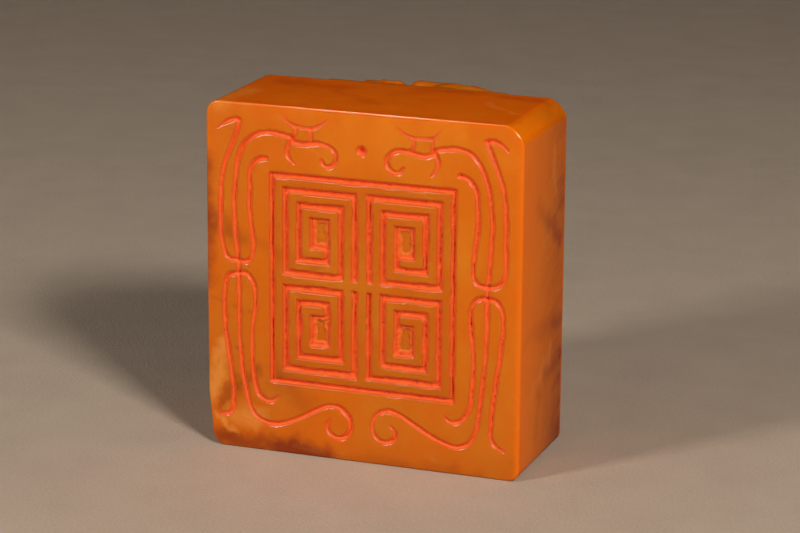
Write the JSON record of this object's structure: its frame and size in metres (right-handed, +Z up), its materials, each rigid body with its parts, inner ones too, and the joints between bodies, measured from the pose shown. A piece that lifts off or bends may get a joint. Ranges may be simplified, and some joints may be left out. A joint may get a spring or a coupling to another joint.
{
  "type": "seal stamp",
  "caption": "Square-faced carved stone seal with line-cut border dragons, a sunk key-fret field holding red seal paste, and a coiled-dragon knob.",
  "frame": {"origin": "middle of the bounding box on the surface it rests on, the seal standing on its lower side", "axes": "+Z up, the seal face looks to -Y and the carved knob to +Y, +X to the right of the seal face as it is looked at"},
  "size_m": [0.04, 0.0295, 0.0432],
  "materials": {
    "amber_stone": "waxy polish",
    "seal_paste": "granular, dry"
  },
  "bodies": {
    "root": {"seal_stone": "amber_stone", "paste_left_dragon": "seal_paste", "paste_right_dragon": "seal_paste", "paste_pearl": "seal_paste", "paste_field_frame": "seal_paste", "paste_field_upper_left": "seal_paste", "paste_field_upper_right": "seal_paste", "paste_field_lower_left": "seal_paste", "paste_field_lower_right": "seal_paste"}
  },
  "joints": []
}
